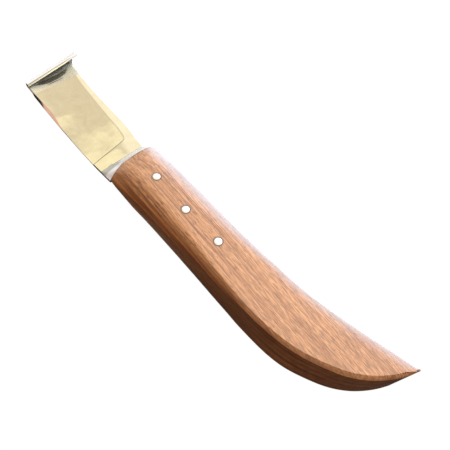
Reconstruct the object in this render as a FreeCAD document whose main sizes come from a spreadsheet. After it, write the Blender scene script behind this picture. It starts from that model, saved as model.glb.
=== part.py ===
import FreeCAD, Part

import os
from FreeCAD import Vector, Placement, Rotation
import Sketcher

# Hook knife: a forged steel blade with a curled tip, an integral flared bolster and a
# hidden flat tang, in a one-piece wooden handle with a pointed butt, bedded in epoxy and
# held by three through pins.
#
# Design axes before the final shift: +X from the front pin towards the hook, +Y towards
# the cutting edge and the belly of the handle, +Z up out of the pinned face. The knife
# lies on the back face of its handle at z = 0.

os.makedirs("parts", exist_ok=True)
doc = FreeCAD.newDocument("hook_knife")
sheet = doc.addObject("Spreadsheet::Sheet", "Sizes")
sheet.Label = "Sizes"
row_number = [0]


def cell(alias, value):
    """One driving dimension: a plain number in column B with its alias."""
    row_number[0] += 1
    n = row_number[0]
    sheet.set("A%d" % n, alias)
    sheet.set("B%d" % n, "%.6f" % value)
    sheet.setAlias("B%d" % n, alias)
    return alias


# ---------------------------------------------------------------- driving sizes (mm)
cell("frame_dx", 16.485)          # shift that puts the origin under the middle of the box
cell("frame_dy", 6.70)
cell("handle_thick", 22.0)       # sawn block, 7/8 inch
cell("mid_height", 11.0)         # middle plane of block and blade
cell("pin_dia", 3.2)             # 1/8 inch pin stock
cell("pin_front_x", 0.0)
cell("pin_front_y", 0.0)
cell("pin_middle_x", -18.6)
cell("pin_middle_y", -0.2)
cell("pin_rear_x", -36.6)
cell("pin_rear_y", -1.6)
cell("stock_thick", 3.2)         # blade and tang stock, 1/8 inch
cell("glue_gap", 0.3)            # epoxy thickness on each side of the tang
cell("joint_x", 16.3)            # plane where bolster and wood meet

# Handle sections: station along X, belly side, spine side, thickness before the faces
# are planed, and corner radius.
HANDLE = [
    (16.3, 11.36, -12.55, 13.2, 6.2),
    (12.0, 11.31, -12.50, 17.4, 7.8),
    (5.0, 11.00, -12.68, 20.8, 9.0),
    (-5.0, 10.10, -13.05, 22.3, 9.6),
    (-16.0, 9.40, -13.50, 22.8, 9.4),
    (-28.0, 8.60, -13.70, 22.8, 8.6),
    (-40.0, 7.85, -13.92, 22.8, 7.2),
    (-52.0, 7.15, -14.10, 22.8, 5.4),
    (-62.0, 6.50, -14.60, 22.8, 3.8),
    (-70.0, 5.95, -15.65, 22.8, 2.8),
    (-79.0, 4.80, -17.50, 22.8, 2.2),
    (-87.0, 2.55, -19.50, 22.8, 2.0),
    (-94.0, -0.75, -21.50, 22.8, 2.0),
    (-100.0, -4.25, -23.25, 22.8, 2.0),
    (-105.0, -8.30, -24.85, 22.8, 2.0),
    (-109.5, -13.45, -26.20, 22.8, 2.0),
    (-113.0, -18.90, -27.05, 22.8, 1.8),
    (-115.4, -23.90, -27.50, 22.8, 1.2),
    (-116.4, -26.30, -27.40, 22.8, 0.45),
]
for i, (sx, sb, ss, st, sr) in enumerate(HANDLE):
    cell("hs%02d_station" % i, sx)
    cell("hs%02d_belly" % i, sb)
    cell("hs%02d_spine" % i, ss)
    cell("hs%02d_low" % i, 11.0 - st / 2)
    cell("hs%02d_high" % i, 11.0 + st / 2)
    cell("hs%02d_corner" % i, sr)

# Plan of the flat blade and ricasso, clockwise from the hook end on the cutting side.
BLADE = [
    (76.0, 13.50), (72.9, 14.10), (63.7, 14.10), (51.3, 13.95), (36.0, 13.50),
    (27.0, 13.10), (21.0, 12.70), (21.0, -9.10), (26.3, -9.00), (36.6, -9.70),
    (47.7, -9.40), (59.7, -9.20), (72.9, -9.65), (76.0, -9.80),
]
for i, (bx, by) in enumerate(BLADE):
    cell("blade_px%02d" % i, bx)
    cell("blade_py%02d" % i, by)

# Plan of the hidden tang.
TANG = [
    (17.2, 8.0), (-38.0, 4.6), (-43.0, 2.2), (-45.0, -1.2), (-43.0, -5.6),
    (-38.0, -8.0), (17.2, -8.0),
]
for i, (tx, ty) in enumerate(TANG):
    cell("tang_px%02d" % i, tx)
    cell("tang_py%02d" % i, ty)
# Plan of the slot that the tang is bedded in.
SLOT = [
    (16.3, 8.4), (-38.1, 5.0), (-43.3, 2.5), (-45.4, -1.2), (-43.3, -5.9),
    (-38.1, -8.4), (16.3, -8.4),
]
for i, (tx, ty) in enumerate(SLOT):
    cell("slot_px%02d" % i, tx)
    cell("slot_py%02d" % i, ty)

# Bolster flare: ricasso section and the oval section that meets the wood.
cell("flare_start_x", 21.9)
cell("flare_start_low", 9.4)
cell("flare_start_high", 12.6)
cell("flare_start_edge", 12.75)
cell("flare_start_back", -9.05)
cell("flare_start_corner", 0.35)
cell("flare_end_low", 4.5)
cell("flare_end_high", 17.5)
cell("flare_end_edge", 11.25)
cell("flare_end_back", -12.35)
cell("flare_end_corner", 6.2)

# Curled tip: sections across the blade, each with its place, outer radius, thickness at
# the root, inner radius, bend centre and the angle of its lip. The curl opens from the cutting edge to the
# back, and the sheet thins from root to lip.
CURL = [
    (13.5, 1.35, 0.55, 0.87, 79.3, 160.0),
    (2.0, 2.33, 1.15, 1.45, 79.7, 122.0),
    (-9.8, 3.33, 1.80, 2.05, 80.1, 108.0),
]
cell("curl_root_x", 75.0)
cell("blade_back_face", 9.4)
for i, (cy, cr, ct, ci, cx, cl) in enumerate(CURL):
    cell("curl%d_y" % i, cy)
    cell("curl%d_outer" % i, cr)
    cell("curl%d_thick" % i, ct)
    cell("curl%d_inner" % i, ci)
    cell("curl%d_centre" % i, cx)
    cell("curl%d_lip" % i, cl)

# Distal taper of the upper face, from behind the middle to the hook.
cell("taper_start_x", 30.0)
cell("taper_end_x", 77.0)
cell("taper_end_z", 11.25)

# Hollow grind, from the plunge to the hook.
cell("grind_start_x", 27.9)
cell("grind_end_x", 76.6)
cell("grind_start_back", -4.9)
cell("grind_end_back", -8.3)
cell("grind_edge_y", 14.8)
cell("grind_edge_z", 9.85)
cell("grind_start_top", 12.6)
cell("grind_end_top", 11.25)
cell("grind_start_sag", 0.50)
cell("grind_end_sag", 0.30)
doc.recompute()


def val(alias):
    return float(sheet.get(alias))


# ---------------------------------------------------------------- helpers
def plane(body, role):
    for f in body.Origin.OriginFeatures:
        if f.Role == role:
            return f
    raise RuntimeError("no plane " + role)


def new_body(label):
    body = doc.addObject("PartDesign::Body", label)
    body.Label = label
    body.setExpression("Placement.Base.x", "Sizes.frame_dx")
    body.setExpression("Placement.Base.y", "Sizes.frame_dy")
    return body


def new_sketch(body, name, role, offset=None, turn=None):
    sk = body.newObject("Sketcher::SketchObject", name)
    sk.AttachmentSupport = [(plane(body, role), "")]
    sk.MapMode = "FlatFace"
    if turn is not None:
        sk.AttachmentOffset = Placement(Vector(0, 0, 0), turn)
    if offset is not None:
        sk.setExpression("AttachmentOffset.Base.z", offset)
    return sk


def bind(sk, index, name, expression):
    sk.renameConstraint(index, name)
    sk.setExpression("Constraints." + name, expression)


def polygon(sk, aliases):
    """A closed outline whose corners are bound to pairs of cells."""
    pts = [Vector(val(a), val(b), 0) for a, b in aliases]
    n = len(pts)
    for i in range(n):
        sk.addGeometry(Part.LineSegment(pts[i], pts[(i + 1) % n]), False)
    for i in range(n):
        sk.addConstraint(Sketcher.Constraint("Coincident", i, 2, (i + 1) % n, 1))
    for i, (a, b) in enumerate(aliases):
        c = sk.addConstraint(Sketcher.Constraint("DistanceX", -1, 1, i, 1, pts[i].x))
        bind(sk, c, "px%02d" % i, "Sizes." + a)
        c = sk.addConstraint(Sketcher.Constraint("DistanceY", -1, 1, i, 1, pts[i].y))
        bind(sk, c, "py%02d" % i, "Sizes." + b)


def rounded_box(sk, left, right, low, high, corner):
    """A rectangle with four equal round corners, bound to five cells."""
    l, r, b, t, c = (val(a) for a in (left, right, low, high, corner))
    if l > r:
        raise RuntimeError("section sides are swapped")
    import math

    g = []
    g.append(sk.addGeometry(Part.LineSegment(Vector(l + c, b, 0), Vector(r - c, b, 0)), False))
    g.append(sk.addGeometry(Part.ArcOfCircle(Part.Circle(Vector(r - c, b + c, 0), Vector(0, 0, 1), c), 1.5 * math.pi, 2 * math.pi), False))
    g.append(sk.addGeometry(Part.LineSegment(Vector(r, b + c, 0), Vector(r, t - c, 0)), False))
    g.append(sk.addGeometry(Part.ArcOfCircle(Part.Circle(Vector(r - c, t - c, 0), Vector(0, 0, 1), c), 0, 0.5 * math.pi), False))
    g.append(sk.addGeometry(Part.LineSegment(Vector(r - c, t, 0), Vector(l + c, t, 0)), False))
    g.append(sk.addGeometry(Part.ArcOfCircle(Part.Circle(Vector(l + c, t - c, 0), Vector(0, 0, 1), c), 0.5 * math.pi, math.pi), False))
    g.append(sk.addGeometry(Part.LineSegment(Vector(l, t - c, 0), Vector(l, b + c, 0)), False))
    g.append(sk.addGeometry(Part.ArcOfCircle(Part.Circle(Vector(l + c, b + c, 0), Vector(0, 0, 1), c), math.pi, 1.5 * math.pi), False))
    for i in range(8):
        sk.addConstraint(Sketcher.Constraint("Tangent", g[i], 2, g[(i + 1) % 8], 1))
    sk.addConstraint(Sketcher.Constraint("Horizontal", g[0]))
    sk.addConstraint(Sketcher.Constraint("Horizontal", g[4]))
    sk.addConstraint(Sketcher.Constraint("Vertical", g[2]))
    sk.addConstraint(Sketcher.Constraint("Vertical", g[6]))
    for k in (3, 5, 7):
        sk.addConstraint(Sketcher.Constraint("Equal", g[1], g[k]))
    n = sk.addConstraint(Sketcher.Constraint("Radius", g[1], c))
    bind(sk, n, "corner", "Sizes." + corner)
    n = sk.addConstraint(Sketcher.Constraint("DistanceX", -1, 1, g[6], 1, l))
    bind(sk, n, "left", "Sizes." + left)
    n = sk.addConstraint(Sketcher.Constraint("DistanceX", -1, 1, g[2], 1, r))
    bind(sk, n, "right", "Sizes." + right)
    n = sk.addConstraint(Sketcher.Constraint("DistanceY", -1, 1, g[0], 1, b))
    bind(sk, n, "low", "Sizes." + low)
    n = sk.addConstraint(Sketcher.Constraint("DistanceY", -1, 1, g[4], 1, t))
    bind(sk, n, "high", "Sizes." + high)


def pin_circles(sk):
    for k, name in enumerate(("front", "middle", "rear")):
        x, y = val("pin_%s_x" % name), val("pin_%s_y" % name)
        g = sk.addGeometry(Part.Circle(Vector(x, y, 0), Vector(0, 0, 1), val("pin_dia") / 2), False)
        n = sk.addConstraint(Sketcher.Constraint("Radius", g, val("pin_dia") / 2))
        bind(sk, n, "rad_" + name, "Sizes.pin_dia / 2")
        n = sk.addConstraint(Sketcher.Constraint("DistanceX", -1, 1, g, 3, x))
        bind(sk, n, "cx_" + name, "Sizes.pin_%s_x" % name)
        n = sk.addConstraint(Sketcher.Constraint("DistanceY", -1, 1, g, 3, y))
        bind(sk, n, "cy_" + name, "Sizes.pin_%s_y" % name)


def cut_check(body, before, what):
    doc.recompute()
    after = body.Shape.Volume
    if not after < before - 1e-3:
        raise RuntimeError("%s cut nothing" % what)
    return after


# ---------------------------------------------------------------- handle
handle = new_body("handle")
sections = []
for i in range(len(HANDLE)):
    sk = new_sketch(handle, "handle_section_%02d" % i, "YZ_Plane", "Sizes.hs%02d_station" % i)
    rounded_box(sk, "hs%02d_spine" % i, "hs%02d_belly" % i, "hs%02d_low" % i, "hs%02d_high" % i, "hs%02d_corner" % i)
    sections.append(sk)
doc.recompute()
loft = handle.newObject("PartDesign::AdditiveLoft", "handle_block")
loft.Profile = sections[0]
loft.Sections = sections[1:]
loft.Ruled = False
loft.Closed = False
doc.recompute()
volume = handle.Shape.Volume

# The two broad faces are planed flat: everything above the block and below the bench
# plane goes.
for name, offset, up in (("plane_top", "Sizes.handle_thick", True), ("plane_back", None, False)):
    sk = new_sketch(handle, name + "_outline", "XY_Plane", offset)
    for a, b in (((-130, -60), (40, -60)), ((40, -60), (40, 40)), ((40, 40), (-130, 40)), ((-130, 40), (-130, -60))):
        sk.addGeometry(Part.LineSegment(Vector(a[0], a[1], 0), Vector(b[0], b[1], 0)), False)
    for i in range(4):
        sk.addConstraint(Sketcher.Constraint("Coincident", i, 2, (i + 1) % 4, 1))
        sk.addConstraint(Sketcher.Constraint("Horizontal" if i % 2 == 0 else "Vertical", i))
    pocket = handle.newObject("PartDesign::Pocket", name)
    pocket.Profile = sk
    pocket.Length = 5
    pocket.Reversed = up
    volume = cut_check(handle, volume, name)

# Slot for the tang and its glue, open at the front.
slot_sk = new_sketch(handle, "slot_outline", "XY_Plane", "Sizes.mid_height - Sizes.stock_thick / 2 - Sizes.glue_gap")
polygon(slot_sk, [("slot_px%02d" % i, "slot_py%02d" % i) for i in range(len(SLOT))])
slot = handle.newObject("PartDesign::Pocket", "tang_slot")
slot.Profile = slot_sk
slot.setExpression("Length", "Sizes.stock_thick + 2 * Sizes.glue_gap")
slot.Reversed = True
volume = cut_check(handle, volume, "tang_slot")

pin_sk = new_sketch(handle, "pin_hole_circles", "XY_Plane", None)
pin_circles(pin_sk)
holes = handle.newObject("PartDesign::Pocket", "pin_holes")
holes.Profile = pin_sk
holes.Type = "ThroughAll"
holes.Reversed = True
volume = cut_check(handle, volume, "pin_holes")

# ---------------------------------------------------------------- blade
blade = new_body("blade")
flat_sk = new_sketch(blade, "blade_outline", "XY_Plane", "Sizes.mid_height - Sizes.stock_thick / 2")
polygon(flat_sk, [("blade_px%02d" % i, "blade_py%02d" % i) for i in range(len(BLADE))])
flat = blade.newObject("PartDesign::Pad", "blade_flat")
flat.Profile = flat_sk
flat.setExpression("Length", "Sizes.stock_thick")
doc.recompute()
volume = blade.Shape.Volume

# Distal taper: a wedge comes off the upper face, so that the blade thins to the hook.
taper_sk = new_sketch(blade, "taper_wedge", "XZ_Plane", None)
tx0, tx1, tz1 = val("taper_start_x"), val("taper_end_x"), val("taper_end_z")
tz0 = val("mid_height") + val("stock_thick") / 2
wedge = [Vector(tx0, tz0, 0), Vector(tx1, tz1, 0), Vector(tx1, tz0 + 2, 0), Vector(tx0, tz0 + 2, 0)]
for i in range(4):
    taper_sk.addGeometry(Part.LineSegment(wedge[i], wedge[(i + 1) % 4]), False)
for i in range(4):
    taper_sk.addConstraint(Sketcher.Constraint("Coincident", i, 2, (i + 1) % 4, 1))
taper_sk.addConstraint(Sketcher.Constraint("Vertical", 1))
taper_sk.addConstraint(Sketcher.Constraint("Horizontal", 2))
taper_sk.addConstraint(Sketcher.Constraint("Vertical", 3))
n = taper_sk.addConstraint(Sketcher.Constraint("DistanceX", -1, 1, 0, 1, tx0))
taper_sk.renameConstraint(n, "start")
taper_sk.setExpression("Constraints.start", "Sizes.taper_start_x")
n = taper_sk.addConstraint(Sketcher.Constraint("DistanceY", -1, 1, 0, 1, tz0))
taper_sk.renameConstraint(n, "stock_face")
taper_sk.setExpression("Constraints.stock_face", "Sizes.mid_height + Sizes.stock_thick / 2")
n = taper_sk.addConstraint(Sketcher.Constraint("DistanceX", -1, 1, 1, 1, tx1))
taper_sk.renameConstraint(n, "end")
taper_sk.setExpression("Constraints.end", "Sizes.taper_end_x")
n = taper_sk.addConstraint(Sketcher.Constraint("DistanceY", -1, 1, 1, 1, tz1))
taper_sk.renameConstraint(n, "end_face")
taper_sk.setExpression("Constraints.end_face", "Sizes.taper_end_z")
taper_sk.addConstraint(Sketcher.Constraint("DistanceY", 1, 2.0 + tz0 - tz1))
taper = blade.newObject("PartDesign::Pocket", "distal_taper")
taper.Profile = taper_sk
taper.Length = 80
taper.Midplane = True
volume = cut_check(blade, volume, "distal_taper")

# Hollow grind on the upper face: a shallow cylinder that falls from the back to the
# cutting edge and stops at the plunge line.
import math


def grind_profile(sk, where):
    back_alias = "grind_%s_back" % where
    yb = val(back_alias)
    ye, ze = val("grind_edge_y"), val("grind_edge_z")
    zt, sag = val("grind_%s_top" % where), val("grind_%s_sag" % where)
    a, b = Vector(yb, zt, 0), Vector(ye, ze, 0)
    mid = (a + b) * 0.5 + Vector(-0.12, -sag, 0)
    up_b, up_a = Vector(ye, zt + 6, 0), Vector(yb, zt + 6, 0)
    sk.addGeometry(Part.Arc(a, mid, b), False)
    sk.addGeometry(Part.LineSegment(b, up_b), False)
    sk.addGeometry(Part.LineSegment(up_b, up_a), False)
    sk.addGeometry(Part.LineSegment(up_a, a), False)
    arc = sk.Geometry[0]
    first = 1 if (arc.StartPoint - a).Length < 1e-6 else 2
    last = 3 - first
    sk.addConstraint(Sketcher.Constraint("Coincident", 0, last, 1, 1))
    sk.addConstraint(Sketcher.Constraint("Coincident", 1, 2, 2, 1))
    sk.addConstraint(Sketcher.Constraint("Coincident", 2, 2, 3, 1))
    sk.addConstraint(Sketcher.Constraint("Coincident", 3, 2, 0, first))
    sk.addConstraint(Sketcher.Constraint("Vertical", 1))
    sk.addConstraint(Sketcher.Constraint("Horizontal", 2))
    sk.addConstraint(Sketcher.Constraint("Vertical", 3))
    n = sk.addConstraint(Sketcher.Constraint("DistanceX", -1, 1, 0, first, yb))
    bind(sk, n, "back", "Sizes." + back_alias)
    n = sk.addConstraint(Sketcher.Constraint("DistanceY", -1, 1, 0, first, zt))
    bind(sk, n, "top", "Sizes.grind_%s_top" % where)
    n = sk.addConstraint(Sketcher.Constraint("DistanceX", -1, 1, 0, last, ye))
    bind(sk, n, "edge", "Sizes.grind_edge_y")
    n = sk.addConstraint(Sketcher.Constraint("DistanceY", -1, 1, 0, last, ze))
    bind(sk, n, "edge_z", "Sizes.grind_edge_z")
    sk.addConstraint(Sketcher.Constraint("Radius", 0, arc.Radius))


g1 = new_sketch(blade, "grind_at_plunge", "YZ_Plane", "Sizes.grind_start_x", Rotation(Vector(0, 1, 0), 9.0))
grind_profile(g1, "start")
g2 = new_sketch(blade, "grind_at_hook", "YZ_Plane", "Sizes.grind_end_x")
grind_profile(g2, "end")
grind = blade.newObject("PartDesign::SubtractiveLoft", "hollow_grind")
grind.Profile = g1
grind.Sections = [g2]
grind.Ruled = True
volume = cut_check(blade, volume, "hollow_grind")

# Curled tip.
def curl_profile(sk, i):
    R, tk, ri, xc = (val("curl%d_%s" % (i, w)) for w in ("outer", "thick", "inner", "centre"))
    z0, x0 = val("blade_back_face"), val("curl_root_x")
    lip = math.radians(val("curl%d_lip" % i))
    co = Vector(xc, z0 + R, 0)
    ci = Vector(xc, z0 + tk + ri, 0)
    o_end = co + Vector(R * math.cos(lip), R * math.sin(lip), 0)
    i_end = ci + Vector(ri * math.cos(lip), ri * math.sin(lip), 0)
    circ_o = Part.ArcOfCircle(Part.Circle(co, Vector(0, 0, 1), R), -math.pi / 2, lip)
    circ_i = Part.ArcOfCircle(Part.Circle(ci, Vector(0, 0, 1), ri), -math.pi / 2, lip)
    sk.addGeometry(Part.LineSegment(Vector(x0, z0, 0), Vector(xc, z0, 0)), False)      # 0 back
    sk.addGeometry(circ_o, False)                                                      # 1 outer
    sk.addGeometry(Part.LineSegment(o_end, i_end), False)                              # 2 lip
    sk.addGeometry(circ_i, False)                                                      # 3 inner
    sk.addGeometry(Part.LineSegment(Vector(xc, z0 + tk, 0), Vector(x0, z0 + tk, 0)), False)  # 4 face
    sk.addGeometry(Part.LineSegment(Vector(x0, z0 + tk, 0), Vector(x0, z0, 0)), False)       # 5 root
    C = Sketcher.Constraint
    sk.addConstraint(C("Tangent", 0, 2, 1, 1))
    sk.addConstraint(C("Coincident", 1, 2, 2, 1))
    sk.addConstraint(C("Coincident", 2, 2, 3, 2))
    sk.addConstraint(C("Tangent", 3, 1, 4, 1))
    sk.addConstraint(C("Coincident", 4, 2, 5, 1))
    sk.addConstraint(C("Coincident", 5, 2, 0, 1))
    sk.addConstraint(C("Horizontal", 0))
    sk.addConstraint(C("Horizontal", 4))
    sk.addConstraint(C("Vertical", 5))
    n = sk.addConstraint(C("DistanceX", -1, 1, 0, 1, x0))
    bind(sk, n, "root", "Sizes.curl_root_x")
    n = sk.addConstraint(C("DistanceY", -1, 1, 0, 1, z0))
    bind(sk, n, "back_face", "Sizes.blade_back_face")
    n = sk.addConstraint(C("DistanceY", 0, 1, 4, 2, tk))
    bind(sk, n, "thick", "Sizes.curl%d_thick" % i)
    for g, tag, rad in ((1, "outer", R), (3, "inner", ri)):
        n = sk.addConstraint(C("DistanceX", -1, 1, g, 3, xc))
        bind(sk, n, tag + "_centre", "Sizes.curl%d_centre" % i)
        n = sk.addConstraint(C("Radius", g, rad))
        bind(sk, n, tag, "Sizes.curl%d_%s" % (i, tag))
        end = co.x + R * math.cos(lip) if g == 1 else ci.x + ri * math.cos(lip)
        n = sk.addConstraint(C("DistanceX", -1, 1, g, 2, end))
        bind(sk, n, tag + "_lip_x", "Sizes.curl%d_centre + Sizes.curl%d_%s * cos(Sizes.curl%d_lip)" % (i, i, tag, i))


curl_sections = []
for i in range(len(CURL)):
    # the XZ plane looks along -Y, so the offset along its normal is -y
    sk = new_sketch(blade, "curl_section_%d" % i, "XZ_Plane", "-1 * Sizes.curl%d_y" % i)
    curl_profile(sk, i)
    curl_sections.append(sk)
doc.recompute()
curl = blade.newObject("PartDesign::AdditiveLoft", "curled_tip")
curl.Profile = curl_sections[0]
curl.Sections = curl_sections[1:]
curl.Ruled = True
doc.recompute()

# Flared bolster, from the ricasso to the wood.
f1 = new_sketch(blade, "flare_at_ricasso", "YZ_Plane", "Sizes.flare_start_x")
rounded_box(f1, "flare_start_back", "flare_start_edge", "flare_start_low", "flare_start_high", "flare_start_corner")
f2 = new_sketch(blade, "flare_at_wood", "YZ_Plane", "Sizes.joint_x")
rounded_box(f2, "flare_end_back", "flare_end_edge", "flare_end_low", "flare_end_high", "flare_end_corner")
flare = blade.newObject("PartDesign::AdditiveLoft", "bolster_flare")
flare.Profile = f1
flare.Sections = [f2]
flare.Ruled = True
doc.recompute()

# Hidden tang.
tang_sk = new_sketch(blade, "tang_outline", "XY_Plane", "Sizes.mid_height - Sizes.stock_thick / 2")
polygon(tang_sk, [("tang_px%02d" % i, "tang_py%02d" % i) for i in range(len(TANG))])
tang = blade.newObject("PartDesign::Pad", "tang")
tang.Profile = tang_sk
tang.setExpression("Length", "Sizes.stock_thick")
doc.recompute()
volume = blade.Shape.Volume
tang_pins = new_sketch(blade, "tang_pin_circles", "XY_Plane", None)
pin_circles(tang_pins)
tang_holes = blade.newObject("PartDesign::Pocket", "tang_pin_holes")
tang_holes.Profile = tang_pins
tang_holes.Type = "ThroughAll"
tang_holes.Reversed = True
volume = cut_check(blade, volume, "tang_pin_holes")

# ---------------------------------------------------------------- epoxy bed
epoxy = new_body("tang_epoxy_bed")
bed_sk = new_sketch(epoxy, "bed_outline", "XY_Plane", "Sizes.mid_height - Sizes.stock_thick / 2 - Sizes.glue_gap")
polygon(bed_sk, [("slot_px%02d" % i, "slot_py%02d" % i) for i in range(len(SLOT))])
bed = epoxy.newObject("PartDesign::Pad", "bed_block")
bed.Profile = bed_sk
bed.setExpression("Length", "Sizes.stock_thick + 2 * Sizes.glue_gap")
doc.recompute()
volume = epoxy.Shape.Volume
cav_sk = new_sketch(epoxy, "tang_space_outline", "XY_Plane", "Sizes.mid_height - Sizes.stock_thick / 2")
polygon(cav_sk, [("tang_px%02d" % i, "tang_py%02d" % i) for i in range(len(TANG))])
cav = epoxy.newObject("PartDesign::Pocket", "tang_space")
cav.Profile = cav_sk
cav.setExpression("Length", "Sizes.stock_thick")
cav.Reversed = True
volume = cut_check(epoxy, volume, "tang_space")
bed_pins = new_sketch(epoxy, "bed_pin_circles", "XY_Plane", None)
pin_circles(bed_pins)
bed_holes = epoxy.newObject("PartDesign::Pocket", "bed_pin_holes")
bed_holes.Profile = bed_pins
bed_holes.Type = "ThroughAll"
bed_holes.Reversed = True
volume = cut_check(epoxy, volume, "bed_pin_holes")

# ---------------------------------------------------------------- pins
pins = []
for name in ("front", "middle", "rear"):
    pin = doc.addObject("Part::Cylinder", "pin_" + name)
    pin.Label = "pin_" + name
    pin.setExpression("Radius", "Sizes.pin_dia / 2")
    pin.setExpression("Height", "Sizes.handle_thick")
    pin.setExpression("Placement.Base.x", "Sizes.pin_%s_x + Sizes.frame_dx" % name)
    pin.setExpression("Placement.Base.y", "Sizes.pin_%s_y + Sizes.frame_dy" % name)
    pins.append(pin)
doc.recompute()

# ---------------------------------------------------------------- checks and export
nodes = [handle, blade, epoxy] + pins
for o in doc.Objects:
    bad = [x for x in o.State if x in ("Invalid", "Error")]
    if bad:
        raise RuntimeError("%s is %s" % (o.Label, bad))
lo = [1e9] * 3
hi = [-1e9] * 3
for o in nodes:
    s = o.Shape
    if s.isNull() or not s.isValid():
        raise RuntimeError("%s has no valid shape" % o.Label)
    if len(s.Solids) != 1:
        raise RuntimeError("%s has %d solids" % (o.Label, len(s.Solids)))
    b = s.BoundBox
    for k, (p, q) in enumerate(((b.XMin, b.XMax), (b.YMin, b.YMax), (b.ZMin, b.ZMax))):
        lo[k], hi[k] = min(lo[k], p), max(hi[k], q)
    print("%-16s volume %9.1f mm3  x %.2f..%.2f  y %.2f..%.2f  z %.2f..%.2f" % (
        o.Label, s.Volume, b.XMin, b.XMax, b.YMin, b.YMax, b.ZMin, b.ZMax))
print("whole box", [round(v, 3) for v in lo], [round(v, 3) for v in hi])
print("box centre", round((lo[0] + hi[0]) / 2, 3), round((lo[1] + hi[1]) / 2, 3))
for i in range(len(nodes)):
    for j in range(i + 1, len(nodes)):
        v = nodes[i].Shape.common(nodes[j].Shape).Volume
        if v > 1e-4:
            print("overlap", nodes[i].Label, nodes[j].Label, round(v, 4))
for o in nodes:
    o.Shape.exportStep("parts/%s.step" % o.Label)
print("wrote", len(nodes), "parts")
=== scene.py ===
import math
import bpy
import bmesh
import numpy as np
from mathutils import Vector, Matrix


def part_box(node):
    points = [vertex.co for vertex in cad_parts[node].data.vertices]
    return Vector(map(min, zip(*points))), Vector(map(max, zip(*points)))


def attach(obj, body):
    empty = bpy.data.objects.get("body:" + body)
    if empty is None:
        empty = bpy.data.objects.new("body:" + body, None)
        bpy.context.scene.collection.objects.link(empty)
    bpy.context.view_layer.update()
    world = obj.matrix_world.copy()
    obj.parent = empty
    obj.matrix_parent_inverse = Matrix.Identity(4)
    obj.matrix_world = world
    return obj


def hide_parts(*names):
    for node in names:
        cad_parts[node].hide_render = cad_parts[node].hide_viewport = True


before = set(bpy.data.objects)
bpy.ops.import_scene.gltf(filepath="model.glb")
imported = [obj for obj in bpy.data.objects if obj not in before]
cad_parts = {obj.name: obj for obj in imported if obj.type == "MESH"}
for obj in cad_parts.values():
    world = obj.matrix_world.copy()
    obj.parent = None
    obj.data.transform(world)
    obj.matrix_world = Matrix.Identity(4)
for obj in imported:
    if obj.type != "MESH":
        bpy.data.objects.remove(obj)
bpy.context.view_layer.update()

MM = 0.001

# The front pin stands at the design origin, so its axis gives the shift of the frame.
p_lo, p_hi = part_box("pin_front")
OX = (p_lo.x + p_hi.x) / 2 / MM
OY = (p_lo.y + p_hi.y) / 2 / MM
ZTOP = p_hi.z / MM          # 22: the upper broad face
ZMID = ZTOP / 2


def interp(x, xs, ys):
    """np.interp that also takes falling xs."""
    xs, ys = np.asarray(xs, float), np.asarray(ys, float)
    if xs[0] > xs[-1]:
        xs, ys = xs[::-1], ys[::-1]
    return np.interp(x, xs, ys)


def spline(x, xs, ys):
    """Natural cubic through the points, so that outlines have no kinks."""
    xs, ys = np.asarray(xs, float), np.asarray(ys, float)
    if xs[0] > xs[-1]:
        xs, ys = xs[::-1], ys[::-1]
    n = len(xs)
    h = np.diff(xs)
    A = np.zeros((n, n))
    r = np.zeros(n)
    A[0, 0] = A[-1, -1] = 1
    for i in range(1, n - 1):
        A[i, i - 1], A[i, i], A[i, i + 1] = h[i - 1], 2 * (h[i - 1] + h[i]), h[i]
        r[i] = 6 * ((ys[i + 1] - ys[i]) / h[i] - (ys[i] - ys[i - 1]) / h[i - 1])
    m = np.linalg.solve(A, r)
    x = np.clip(np.asarray(x, float), xs[0], xs[-1])
    k = np.clip(np.searchsorted(xs, x) - 1, 0, n - 2)
    a, b, hk = xs[k + 1] - x, x - xs[k], h[k]
    return (m[k] * a**3 + m[k + 1] * b**3) / (6 * hk) + (ys[k] / hk - m[k] * hk / 6) * a + (
        ys[k + 1] / hk - m[k + 1] * hk / 6) * b


def smooth(a, b, x):
    u = np.clip((np.asarray(x, float) - a) / (b - a), 0, 1)
    return u * u * (3 - 2 * u)


def to_object(name, verts, faces, sharp_deg=38.0, zone=None):
    """A mesh object from design-frame millimetres."""
    co = [((v[0] + OX) * MM, (v[1] + OY) * MM, v[2] * MM) for v in verts]
    me = bpy.data.meshes.new(name)
    me.from_pydata(co, [], faces)
    me.validate()
    if zone is not None:
        at = me.color_attributes.new(name="zone", type="FLOAT_COLOR", domain="POINT")
        flat = np.ones((len(co), 4), np.float32)
        flat[:, :3] = np.asarray(zone, np.float32)
        at.data.foreach_set("color", flat.ravel())
    bm = bmesh.new()
    bm.from_mesh(me)
    bmesh.ops.remove_doubles(bm, verts=bm.verts, dist=2e-6)
    bmesh.ops.recalc_face_normals(bm, faces=bm.faces)
    bm.to_mesh(me)
    bm.free()
    me.polygons.foreach_set("use_smooth", [True] * len(me.polygons))
    me.set_sharp_from_angle(angle=math.radians(sharp_deg))
    ob = bpy.data.objects.new(name, me)
    bpy.context.scene.collection.objects.link(ob)
    return ob


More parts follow.
